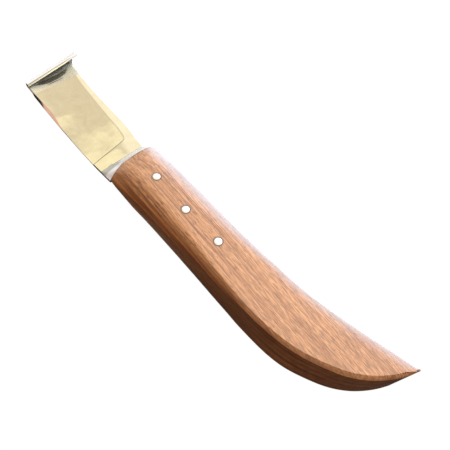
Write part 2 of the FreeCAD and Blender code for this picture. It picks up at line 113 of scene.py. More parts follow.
# ------------------------------------------------------------------ handle
H_X = [16.3, 12, 5, -5, -16, -28, -40, -50, -60, -70, -79, -87, -94, -100, -105, -108.6, -111.7, -114.0, -115.6, -116.4]
H_B = [11.95, 11.80, 11.25, 10.20, 9.42, 8.60, 7.85, 7.25, 6.62, 5.95, 4.85, 2.60, -0.75, -4.25, -8.3, -12.2, -16.6, -20.7, -24.3, -26.8]
H_S = [-12.6, -12.5, -12.68, -13.05, -13.5, -13.7, -13.92, -14.05, -14.45, -15.65, -17.5, -19.5, -21.5, -23.25, -24.85, -25.95, -26.75, -27.25, -27.55, -26.8]
R_X = [-70, -60, -50, -40, -28, -16, 0, 8, 16.3]
R_Y = [1.2, 1.7, 2.5, 3.3, 4.5, 5.9, 7.5, 9.0, 11.0]
R_Z = [2.0, 3.2, 5.2, 7.0, 8.3, 9.2, 9.7, 9.4, 7.2]
JOINT_SLANT = -0.10
JOINT_X = 16.15


def thick(x):
    t = interp(x, [-60, -20, -8, 0, 6, 11, 14.5, 16.3], [22.8, 22.8, 22.6, 22.0, 20.4, 18.0, 15.2, 13.1])
    return np.minimum(22.0, t)


def half_thick(x):
    """Smoothed half thickness, so that the flat runs into the front taper with no kink."""
    x = np.asarray(x, float)
    reach = np.minimum(2.5, np.maximum(16.3 - x, 0.0))
    return np.mean([thick(x + q * reach) for q in np.linspace(-1, 1, 11)], axis=0) / 2


def outline(x):
    return spline(x, H_X[:-1], H_B[:-1]), spline(x, H_X[:-1], H_S[:-1])


def handle_object():
    # stations: even along the body, then an arc round the nose
    xs = np.concatenate([np.linspace(JOINT_X, 8, 22), np.linspace(7.4, -60, 84), np.linspace(-60.6, -111, 80), np.linspace(-111.3, -115.2, 16)])
    yb, ys = outline(xs)
    B = np.stack([xs, yb], 1)
    S = np.stack([xs, ys], 1)
    # nose: a small arc that joins belly and spine side at the apex
    nose = np.array([-116.4, -26.8])
    nb, ns = B[-1], S[-1]
    tb = (B[-1] - B[-3]) / np.linalg.norm(B[-1] - B[-3])
    ts = (S[-1] - S[-3]) / np.linalg.norm(S[-1] - S[-3])
    arcB, arcS = [], []
    for u in np.linspace(0, 1, 13)[1:]:
        def bez(p, t, q, tq):
            L = np.linalg.norm(q - p) * 0.55
            c1, c2 = p + t * L, q + tq * L
            return (1 - u)**3 * p + 3 * (1 - u)**2 * u * c1 + 3 * (1 - u) * u * u * c2 + u**3 * q
        arcB.append(bez(nb, tb, nose, np.array([0.35, 0.94])))
        arcS.append(bez(ns, ts, nose, np.array([-0.35, -0.94])))
    B = np.concatenate([B, arcB])
    S = np.concatenate([S, arcS])
    n = len(B)

    def normals(P, side):
        d = np.gradient(P, axis=0)
        nn = np.stack([-d[:, 1], d[:, 0]], 1)
        nn /= np.linalg.norm(nn, axis=1)[:, None] + 1e-12
        # inward: towards the other side
        if side * nn[20, 1] > 0:
            nn = -nn
        return nn
    NB, NS = normals(B, 1), normals(S, -1)
    # at the front the offset is straight across, so that the joint plane stays true
    for N, s in ((NB, -1.0), (NS, 1.0)):
        w = smooth(-66, -52, B[:, 0])[:, None]
        N[:] = N * (1 - w) + np.array([0, s]) * w
        N /= np.linalg.norm(N, axis=1)[:, None]
    width = np.linalg.norm(B - S, axis=1)
    x_ = B[:, 0]

    def soft(v, k=6):
        return np.convolve(np.pad(v, k, "edge"), np.ones(2 * k + 1) / (2 * k + 1), "valid")
    front = smooth(-64, -50, x_)          # 1 where the section is rounded, 0 on the sawn butt
    ry_f = interp(x_, R_X, R_Y)
    rz_f = interp(x_, R_X, R_Z)
    rz_f = np.where(x_ > 8, interp(x_, [8, 16.3], [9.6, 6.5]), rz_f)
    ryb = soft(ry_f) * front + 1.30 * (1 - front)
    rzb = soft(rz_f) * front + 1.75 * (1 - front)
    rys = soft(interp(x_, R_X, [3.6, 4.2, 5.6, 7.4, 9.0, 10.0, 10.5, 10.8, 11.6])) * front + 5.6 * (1 - front)
    rzs = soft(np.minimum(rz_f, interp(x_, [-70, -60, -50, -40, -28, 16.3], [2.4, 3.4, 5.4, 7.6, 9.3, 20]))) * front + 3.0 * (1 - front)
    ryb = np.minimum(ryb, width * 0.30 + 0.02)
    rys = np.minimum(rys, width * 0.50)
    rzb = np.minimum(rzb, 0.35 + width * 0.5)
    rzs = np.minimum(rzs, 0.45 + width * 0.5)
    ht = half_thick(x_)
    rzb = np.minimum(rzb, ht - 0.02)
    rzs = np.minimum(rzs, ht - 0.02)
    pb = interp(x_, [-30, -8, 5, 16.3], [2.25, 2.15, 1.85, 1.45])
    ps = interp(x_, [-30, -8, 5, 16.3], [2.25, 2.25, 2.3, 2.4])
    # the sawn butt leans in a little towards the back face
    lean = interp(x_, [-94, -84, -76, -68, -60, -50, -38, -26], [0.0, 0.05, 0.55, 1.05, 1.20, 1.00, 0.45, 0.0])
    B = B - NB * lean[:, None]
    nc, nf, nt = 14, 12, 22          # corner, side flat, top flat divisions
    rings = []
    for i in range(n):
        # slant of the joint plane, fading out along the body
        sl = JOINT_SLANT * float(smooth(-20, JOINT_X, B[i, 0]))
        ring = []
        th = np.linspace(0, math.pi / 2, nc + 1)
        u = np.linspace(0, 1, nc + 1)

        def side(P, N, up, ry, rz, p, cham):
            cy = (1 - np.cos(th)**(2 / p)) * (1 - cham) + (u + 0.16 * (u * u - u)) * cham
            cz = np.sin(th)**(2 / p) * (1 - cham) + (u - 0.16 * (u * u - u)) * cham
            out = []
            zs = ht[i] - rz
            for k in range(nc + 1):
                z = ZMID + up * (zs + rz * cz[k])
                q = P[i] + N[i] * (ry * cy[k] + (lean[i] if P is B else 0.0) * (ZTOP - z) / ZTOP)
                out.append((q[0], q[1], z))
            return out
        cb = 1 - front[i]
        bt = side(B, NB, 1, ryb[i], rzb[i], pb[i], cb)      # belly side, rising to the top face
        st = side(S, NS, 1, rys[i], rzs[i], ps[i], 0.0)[::-1]
        sb = side(S, NS, -1, rys[i], rzs[i], ps[i], 0.0)
        bb = side(B, NB, -1, ryb[i], rzb[i], pb[i], cb)[::-1]
        ring += bt
        a, b = np.array(bt[-1]), np.array(st[0])
        ring += [tuple(a + (b - a) * k / nt) for k in range(1, nt)]
        ring += st
        a, b = np.array(st[-1]), np.array(sb[0])
        ring += [tuple(a + (b - a) * k / nf) for k in range(1, nf)]
        ring += sb
        a, b = np.array(sb[-1]), np.array(bb[0])
        ring += [tuple(a + (b - a) * k / nt) for k in range(1, nt)]
        ring += bb
        a, b = np.array(bb[-1]), np.array(bt[0])
        ring += [tuple(a + (b - a) * k / nf) for k in range(1, nf)]
        ring = [(x + sl * y, y, z) for x, y, z in ring]
        rings.append(ring)
    # the nose: both sides meet on one upright line
    zs, hz = float(ht[-1]) - 0.45, float(ht[-1])
    up_z = [zs + 0.45 * k / nc for k in range(nc + 1)]
    flat_z = [zs - 2 * zs * k / nf for k in range(1, nf)]
    line = up_z + [hz] * (nt - 1) + up_z[::-1] + flat_z + [-z for z in up_z] + [-hz] * (nt - 1) + [-z for z in up_z[::-1]] + flat_z[::-1]
    nose = (H_X[-1], H_B[-1])
    rings[-1] = [(nose[0], nose[1], ZMID + z) for z in line]
    m = len(rings[0])
    # front end: a shallow inward step hides the joint with the steel
    first = rings[0]
    cy0 = np.mean([v[1] for v in first])
    inner = [(v[0] + 0.0, cy0 + (v[1] - cy0) * 0.985, ZMID + (v[2] - ZMID) * 0.975) for v in first]
    deep = [(v[0] - 1.2, cy0 + (v[1] - cy0) * 0.90, ZMID + (v[2] - ZMID) * 0.86) for v in first]
    core = [(v[0] - 1.2, cy0 + (v[1] - cy0) * 0.45, ZMID + (v[2] - ZMID) * 0.40) for v in first]
    rings = [core, deep, inner] + rings
    verts = [v for r in rings for v in r]
    faces = []
    for i in range(len(rings) - 1):
        for j in range(m):
            k = (j + 1) % m
            faces.append((i * m + j, i * m + k, (i + 1) * m + k, (i + 1) * m + j))
    verts.append((JOINT_X - 1.2, cy0, ZMID))
    c = len(verts) - 1
    for j in range(m):
        faces.append((j, c, (j + 1) % m))
    # the nose closes on itself: its last ring is one vertical line
    return to_object("handle_wood", verts, faces, 24)


# ------------------------------------------------------------------ blade
# plan outlines, design mm
EDGE_X = [21.0, 24.0, 27.0, 36.0, 51.3, 59.5, 63.7, 72.9, 77.5, 84]
EDGE_Y = [12.65, 12.93, 13.10, 13.50, 13.95, 14.02, 14.06, 14.05, 13.55, 13.0]
BACK_X = [21.0, 26.3, 31.0, 36.6, 47.7, 59.7, 72.9, 77.5, 84]
BACK_Y = [-9.0, -9.0, -9.45, -9.70, -9.40, -9.20, -9.50, -9.75, -9.9]
IN_X = [27.0, 28.6, 30.0, 32.1, 35.8, 42.0, 52.2, 68.5, 77.5, 84]
IN_Y = [-3.3, -3.9, -4.7, -5.2, -5.6, -5.65, -6.0, -6.85, -8.1, -8.9]
ZB = 9.4                  # flat back of the blade
ZT = 12.6                 # spine


def spine_z(x):
    """The steel thins a little towards the hook."""
    return interp(x, [0, 30, 77, 90], [ZT, ZT, 11.25, 11.25])


def plane_z(x, y):
    """Upper face of ricasso and spine strip: level at the back, thinner to the edge."""
    y = np.asarray(y, float)
    return spine_z(x) - 0.0062 * np.clip(y + 5.0, 0, None)**2


def bevel(x):
    """Width and drop of the small bevel along the cutting edge."""
    w_ = spline(x, [26, 46, 52, 57, 62, 67, 72, 77.5], [0.12, 0.14, 0.45, 1.05, 1.25, 0.95, 0.72, 0.42])
    d_ = spline(x, [26, 46, 52, 57, 62, 67, 72, 77.5], [0.08, 0.10, 0.28, 0.64, 0.84, 0.80, 0.68, 0.43])
    return w_, d_


N1, N2, N3, N4 = 4, 30, 14, 3      # bevel, hollow, strip, spine edge break
NCOL = N1 + N2 + N3 + N4 + 1


def columns(x):
    """y of each top column at plan position x (array of NCOL x values)."""
    ye = interp(x, EDGE_X, EDGE_Y)
    yb = interp(x, BACK_X, BACK_Y)
    yi = interp(x, IN_X, IN_Y)
    bw = bevel(x)[0]
    out = np.empty(NCOL)
    for j in range(NCOL):
        if j <= N1:
            out[j] = ye[j] - bw[j] * j / N1
        elif j <= N1 + N2:
            u = (j - N1) / N2
            out[j] = (ye[j] - bw[j]) * (1 - u) + yi[j] * u
        elif j <= N1 + N2 + N3:
            u = (j - N1 - N2) / N3
            out[j] = yi[j] * (1 - u) + (yb[j] + 0.32) * u
        else:
            u = (j - N1 - N2 - N3) / N4
            out[j] = yb[j] + 0.32 * (1 - u)
    return out


def station_xy(x0, slant, bow=0.0):
    """Plan points of the columns for a line across the blade through (x0, 0)."""
    x = np.full(NCOL, float(x0))
    for _ in range(5):
        y = columns(x)
        x = x0 + slant * y + bow * y * y
    return x, y


J = np.arange(NCOL)
SPINE_BREAK = np.clip((J - (N1 + N2 + N3)) / N4, 0, 1)**2 * 0.32
EDGE_BREAK = np.clip(1 - J / N1, 0, 1)


def ground_z(x, y):
    """Upper face between plunge and hook."""
    yi = interp(x, IN_X, IN_Y)
    ye = interp(x, EDGE_X, EDGE_Y)
    bw, bd = bevel(x)
    yv = ye - bw
    zi = plane_z(x, yi)
    ze = ZB + 0.32
    zv = ze + bd
    w = (y - yv) / (yi - yv)
    hollow = zv + (zi - zv) * w - 0.34 * 4 * w * (1 - w)
    bev = zv - bd * np.clip((y - yv) / np.maximum(bw, 1e-6), 0, 1)
    z = np.where(w < 0, bev, np.where(w <= 1, hollow, plane_z(x, y)))
    return z


def blade_object():
    tops, bots, ztop, zbot = [], [], [], []
    none = np.zeros((NCOL, 3))

    def add(x, y, zt, zb, xb=None, yb_=None, mt=none, mb=none):
        tops.append(np.stack([x, y, zt], 1))
        bots.append(np.stack([x if xb is None else xb, y if yb_ is None else yb_, zb], 1))
        ztop.append(mt)
        zbot.append(mb)

    def rgb(r=0.0, g=0.0, b=0.0):
        return np.stack([np.broadcast_to(q, NCOL) for q in (r, g, b)], 1).astype(float)

    bot_break = SPINE_BREAK * 0.9
    # --- flare, from the joint plane to the ricasso
    xr, yr = station_xy(21.20, -0.050, 0.0052)
    zr_t = plane_z(xr, yr) - SPINE_BREAK - 0.10 * EDGE_BREAK**2
    zr_b = ZB + bot_break
    f = J / (NCOL - 1)
    # the section at the wood, pointed on the cutting side and full on the back
    sec_y = [12.15, 11.12, 9.70, 7.65, 5.57, 2.88, 0.0, -2.5, -4.6, -6.6, -8.7, -10.5, -11.8, -12.4]
    sec_z = [0.02, 0.83, 2.20, 3.85, 5.10, 5.98, 6.42, 6.42, 6.22, 5.85, 5.15, 4.10, 2.45, 0.15]
    dd = np.concatenate([[0], np.cumsum(np.hypot(np.diff(sec_y), np.diff(sec_z)))])
    dd /= dd[-1]
    yo = spline(f, dd, sec_y)
    zo = np.maximum(spline(f, dd, sec_z), 0.02)
    xo = 16.42 + JOINT_SLANT * yo
    cyo = -0.3
    # neck inside the wood
    for sc, dx in ((0.40, -0.9), (0.93, -0.9), (0.955, -0.02)):
        add(xo + dx, cyo + (yo - cyo) * sc, ZMID + zo * sc, ZMID - (zo + 1.4 * (1 - smooth(0, 0.16, f))) * sc)
    nfl = 20
    for i in range(nfl + 1):
        w = i / nfl                       # 0 at the wood, 1 at the ricasso
        q = 1 - w
        g = (q * q / (q + 0.035)) * 1.035   # small fillet at the ricasso
        x = xr + (xo - xr) * q
        y = yr + (yo - yr) * q
        zt = zr_t + (ZMID + zo - zr_t) * g
        zb = zr_b + (ZMID - zo - 1.4 * (1 - smooth(0, 0.16, f)) - zr_b) * g
        # painted highlight: the ramp is painted pale as ground steel (r, also rougher); painted reflection: a
        # grey-green patch on its edge side and faint dark shade towards the wood and the back (g)
        r_ = 0.80 * smooth(0.02, 0.10, q)
        lf = smooth(3.0, 5.5, y)
        right = smooth(-4.0, -7.0, y)
        g_ = 0.75 * lf * smooth(0.40, 0.60, w) * smooth(0.0, 0.06, q) + (0.02 + 0.15 * (1 - w) + 0.16 * right) * (1 - lf) * smooth(0.02, 0.10, q)
        add(x, y, zt, zb, mt=rgb(r=r_, g=g_))
    # --- ricasso
    for u in np.linspace(0, 1, 8)[1:]:
        x0 = 21.20 + (27.65 - 21.20) * u
        x, y = station_xy(x0, -0.050 - 0.110 * u, 0.0052 - 0.0042 * u)
        add(x, y, plane_z(x, y) - SPINE_BREAK - 0.10 * EDGE_BREAK**2, ZB + bot_break)
    # --- plunge: the edge of the ricasso rolls over and drops to the ground face
    scoop = (J >= N1) & (J <= N1 + N2)
    for k in (0.12, 0.25, 0.40, 0.55, 0.70, 0.85, 0.96):
        x, y = station_xy(27.65 + 0.84 * k, -0.160, 0.0010)
        drop = 1 - math.sqrt(max(0.0, 1 - k * k))
        zg = ground_z(x, y)
        zt = plane_z(x, y) + (zg - plane_z(x, y)) * drop
        # painted shade: a brown dark line along the foot of the plunge, over the hollow columns
        g_ = np.exp(-((y - 6.5) / 6.5)**2) * smooth(0.05, 0.30, k) * scoop
        add(x, y, zt - SPINE_BREAK - 0.05 * EDGE_BREAK**2, ZB + bot_break, mt=rgb(g=g_, b=1.0 * scoop))
    low_y = [-7.3, -5.7, -4.6, -3.7, -1.8, 0.3, 2.5, 5.0, 7.1, 9.7, 11.3]
    low_s = [91.0, 89.4, 88.5, 88.0, 87.35, 86.95, 86.7, 86.55, 87.1, 88.0, 88.4]
    seam_y = [-10.3, -7.8, -4.0, -0.6, 3.0, 7.3, 10.3]
    seam_s = [92.67, 91.99, 90.87, 90.12, 89.88, 89.72, 88.91]
    start = 28.49
    end = 76.0
    for u in np.linspace(0, 1, 60):
        x0 = start + (end - start) * u
        x, y = station_xy(x0, -0.160 * (1 - u)**2 - 0.02 * u, 0.0010 * (1 - u)**2)
        # painted reflection: next to the hook the flat is painted cream dulled with brown, standing in for the
        # reflection of the curl
        near = (0.75 + 0.25 * smooth(-1.2, -3.0, y)) * smooth(0.0, 0.5, np.interp(y, low_y, low_s) - x - plane_z(x, y)) * smooth(73.6, 75.2, x)
        add(x, y, ground_z(x, y) - SPINE_BREAK - 0.05 * EDGE_BREAK**2, ZB + bot_break, mt=rgb(r=0.85 * near, g=0.40 * near, b=near))
    # --- the hook: the sheet rolls up and over, tight at the edge and open at the back,
    #     and its back corner flares out into a point
    xe, ye = station_xy(end, -0.02)
    he = ground_z(xe, ye) - SPINE_BREAK - ZB
    fy = (13.5 - ye) / (13.5 + 9.8)       # 0 at the edge, 1 at the back
    R = 1.35 + 1.98 * fy
    xc = 79.34 + 0.80 * fy
    horn = smooth(0.84, 1.0, fy)
    phi_end = np.radians(130) + np.arccos(np.clip(1 - 2.05 / R, -1, 1)) * (1 - 0.14 * horn)
    hc = np.minimum(he, 1.25)
    # the crook is painted darker, as painted shade and the dark reflection of the curl, and made rougher: its lower
    # edge, and a painted highlight line along the seam, as x + z

    def crook(x_t, y_t, z_t, wall=False):
        s_ = x_t + z_t
        lo_b = np.interp(y_t, low_y, low_s)
        seam = np.interp(y_t, seam_y, seam_s)
        g_ = smooth(-0.25, 0.35, s_ - lo_b) * smooth(-7.0, -6.0, y_t)
        g_ = np.maximum(g_, smooth(0.0, 0.4, s_ - seam - 0.2))
        g_ = g_ * (1 - 0.93 * np.exp(-((s_ - seam) / 0.40)**2))
        return g_ * (0.92 - 0.30 * smooth(0.1, 0.5, s_ - seam) * (1 - smooth(0.9, 1.6, s_ - seam)) - 0.30 * smooth(-4.0, -9.0, y_t) * smooth(0, 0.5, s_ - seam))

    for u in np.linspace(0, 1, 34)[1:]:
        x = xe + (xc - xe) * u
        g_ = crook(x, ye, ZB + he)
        # painted reflection near the curl, and a painted highlight line along the seam
        near = (0.75 + 0.25 * smooth(-1.2, -3.0, ye)) * (1 - g_) * (1 - smooth(0.0, 0.6, x + ZB + he - np.interp(ye, seam_y, seam_s)))
        s_ = x + ZB + he
        shine = np.exp(-((s_ - np.interp(ye, seam_y, seam_s)) / 0.30)**2)
        add(x, ye, ZB + he, ZB + bot_break * (1 - u), mt=rgb(r=np.maximum(0.85 * near, 0.8 * shine), g=np.maximum(g_, 0.40 * near), b=near))
    nphi = 72
    phi_line = np.radians(135) + np.arccos(np.clip(1 - 1.05 / R, -1, 1))
    for k in range(1, nphi + 1):
        v = k / nphi
        phi = phi_end * v
        h = he + (hc - he) * smooth(0, 1.9, phi)
        left = (phi_end - phi) * (R - h / 2)
        h = h * (1 - 0.80 * np.clip(1 - left / 1.6, 0, 1))     # ground thin from the inside
        nx, nz = -np.sin(phi), np.cos(phi)
        bx_ = xc + np.sin(phi) * R
        bz_ = ZB + R - np.cos(phi) * R
        grow = 1 + 0.09 * horn * smooth(0.9, 2.2, phi)
        bx_ = xc + (bx_ - xc) * grow
        bz_ = ZB + (bz_ - ZB) * grow
        yy = ye - horn * (1.1 * smooth(0.0, 0.9, phi) + 1.7 * smooth(0.9, 3.0, phi))
        # painted highlight: past about 115 degrees the outer lip is painted pale as ground steel, and rougher, cream
        # beyond the dark line and white on the horn; a painted dark reflection line parts the two bands; a grey line of
        # painted shade runs along the grazing rim and the horn's end; inside, the back corner is painted pale, with a
        # painted highlight along the seam and the painted reflection near the curl's start
        m_out = smooth(2.0, 2.25, phi)
        line = np.clip(1.8 - np.abs(phi - phi_line) * R / 0.24, 0, 1) * (1 - horn)
        rim_edge_shade = 0.45 * np.clip(1.5 - np.abs(phi - 2.30) * R / 0.22, 0, 1) + 0.40 * horn * np.clip(1 - left / 0.5, 0, 1)
        m_in = smooth(-8.9, -9.5, yy) * smooth(1.02, 1.18, phi)
        tx, tz = bx_ + nx * h, bz_ + nz * h
        g_ = np.maximum(crook(tx, yy, tz) * (1 - m_in), 0.30 * m_in)
        shine = np.exp(-((tx + tz - np.interp(yy, seam_y, seam_s)) / 0.30)**2) * (phi < 1.0)
        m_in = np.maximum(m_in, 0.8 * shine)
        near = (0.75 + 0.25 * smooth(-5.6, -6.6, yy)) * (1 - smooth(0.45, 0.85, phi)) * (1 - g_)
        m_in = np.maximum(m_in, 0.85 * near)
        g_ = np.maximum(g_, 0.40 * near)
        add(tx, yy, tz, bz_, xb=bx_, yb_=yy, mt=rgb(r=m_in, g=g_, b=near), mb=rgb(r=m_out, g=np.maximum(0.75 * line, rim_edge_shade), b=(phi > phi_line) * (1 - horn)))
    T = np.array(tops)
    Bm = np.array(bots)
    ns = len(T)
    nsd = 3
    rings, zone = [], []
    for i in range(ns):
        ring = [tuple(p) for p in T[i]]
        a_, b_ = T[i, -1], Bm[i, -1]
        ring += [tuple(a_ + (b_ - a_) * k / nsd) for k in range(1, nsd)]
        ring += [tuple(p) for p in Bm[i, ::-1]]
        a_, b_ = Bm[i, 0], T[i, 0]
        ring += [tuple(a_ + (b_ - a_) * k / nsd) for k in range(1, nsd)]
        rings.append(ring)
        zone += list(ztop[i]) + [zbot[i][-1]] * (nsd - 1) + list(zbot[i][::-1]) + [zbot[i][0]] * (nsd - 1)
    m = len(rings[0])
    verts = [v for r in rings for v in r]
    faces = []
    for i in range(ns - 1):
        for j in range(m):
            k = (j + 1) % m
            faces.append((i * m + j, i * m + k, (i + 1) * m + k, (i + 1) * m + j))
    # end strips
    for i, flip in ((0, True), (ns - 1, False)):
        o = i * m
        nb = NCOL + nsd - 1
        top = [o + j for j in range(NCOL)]
        bot = [o + nb + (NCOL - 1 - j) for j in range(NCOL)]
        for j in range(NCOL - 1):
            q = (top[j], top[j + 1], bot[j + 1], bot[j])
            faces.append(q[::-1] if flip else q)
        rs = [o + NCOL + k for k in range(nsd - 1)]
        ls = [o + nb + NCOL + k for k in range(nsd - 1)]
        q = [top[-1]] + rs + [bot[-1]]
        faces.append(tuple(q) if not flip else tuple(q[::-1]))
        q = [bot[0]] + ls + [top[0]]
        faces.append(tuple(q) if not flip else tuple(q[::-1]))
    return to_object("blade_steel", verts, faces, 24, zone)


# ------------------------------------------------------------------ pins
def pin_object(name, cx, cy):
    """A turned pin, filed flush with a trace of crown at both ends."""
    r = 1.56
    prof = [(0.0, ZTOP + 0.055), (0.6, ZTOP + 0.052), (1.1, ZTOP + 0.042), (1.38, ZTOP + 0.026), (1.50, ZTOP + 0.006), (r, ZTOP - 0.09), (r, ZMID)]
    prof = prof + [(q, ZTOP - z) for q, z in prof[::-1][1:]]
    seg = 64
    verts, faces = [], []
    for q, z in prof:
        if q == 0:
            verts.append((cx, cy, z))
        else:
            for k in range(seg):
                t = 2 * math.pi * k / seg
                verts.append((cx + q * math.cos(t), cy + q * math.sin(t), z))
    idx, starts = 0, []
    for q, z in prof:
        starts.append(idx)
        idx += 1 if q == 0 else seg
    for i in range(len(prof) - 1):
        a, b = starts[i], starts[i + 1]
        qa, qb = prof[i][0], prof[i + 1][0]
        for k in range(seg):
            l = (k + 1) % seg
            if qa == 0:
                faces.append((a, b + k, b + l))
            elif qb == 0:
                faces.append((a + k, b, a + l))
            else:
                faces.append((a + k, b + k, b + l, a + l))
    return to_object(name, verts, faces, 40)


# ------------------------------------------------------------------ materials
class Nodes:
    def __init__(self, name):
        self.mat = bpy.data.materials.new(name)
        self.mat.use_nodes = True
        self.t = self.mat.node_tree
        self.t.nodes.clear()
        self.out = self.t.nodes.new("ShaderNodeOutputMaterial")
        self.bsdf = self.t.nodes.new("ShaderNodeBsdfPrincipled")
        self.t.links.new(self.bsdf.outputs[0], self.out.inputs[0])

    def link(self, a, b):
        self.t.links.new(a, b)

    def coords(self, scale):
        tc = self.t.nodes.new("ShaderNodeTexCoord")
        mp = self.t.nodes.new("ShaderNodeMapping")
        mp.inputs["Scale"].default_value = [q * 1000 for q in scale]
        self.link(tc.outputs["Object"], mp.inputs["Vector"])
        return mp.outputs[0]

    def noise(self, vec, scale, detail=3, rough=0.5, dist=0.0):
        n = self.t.nodes.new("ShaderNodeTexNoise")
        n.inputs["Scale"].default_value = scale
        n.inputs["Detail"].default_value = detail
        n.inputs["Roughness"].default_value = rough
        n.inputs["Distortion"].default_value = dist
        self.link(vec, n.inputs["Vector"])
        return n.outputs["Fac"]

    def ramp(self, fac, stops, mode="LINEAR"):
        r = self.t.nodes.new("ShaderNodeValToRGB")
        r.color_ramp.interpolation = mode
        el = r.color_ramp.elements
        while len(el) < len(stops):
            el.new(0.5)
        for e, (p, c) in zip(el, stops):
            e.position = p
            e.color = (c[0], c[1], c[2], 1) if hasattr(c, "__len__") else (c, c, c, 1)
        self.link(fac, r.inputs[0])
        return r.outputs[0]

    def math(self, op, a, b=None, c=None, clamp=False):
        n = self.t.nodes.new("ShaderNodeMath")
        n.operation = op
        n.use_clamp = clamp
        for i, q in enumerate((a, b, c)):
            if q is None:
                continue
            if isinstance(q, (int, float)):
                n.inputs[i].default_value = q
            else:
                self.link(q, n.inputs[i])
        return n.outputs[0]

    def mix(self, fac, a, b, blend="MIX"):
        n = self.t.nodes.new("ShaderNodeMix")
        n.data_type = "RGBA"
        n.blend_type = blend
        for sock, q in ((n.inputs[0], fac), (n.inputs[6], a), (n.inputs[7], b)):
            if isinstance(q, (int, float)):
                sock.default_value = q
            elif hasattr(q, "__len__"):
                sock.default_value = (q[0], q[1], q[2], 1)
            else:
                self.link(q, sock)
        return n.outputs[2]

    def bump(self, height, strength, dist, normal=None):
        n = self.t.nodes.new("ShaderNodeBump")
        n.inputs["Strength"].default_value = strength
        n.inputs["Distance"].default_value = dist
        self.link(height, n.inputs["Height"])
        if normal is not None:
            self.link(normal, n.inputs["Normal"])
        return n.outputs[0]

    def xyz(self):
        tc = self.t.nodes.new("ShaderNodeTexCoord")
        sp = self.t.nodes.new("ShaderNodeSeparateXYZ")
        self.link(tc.outputs["Object"], sp.inputs[0])
        return sp.outputs


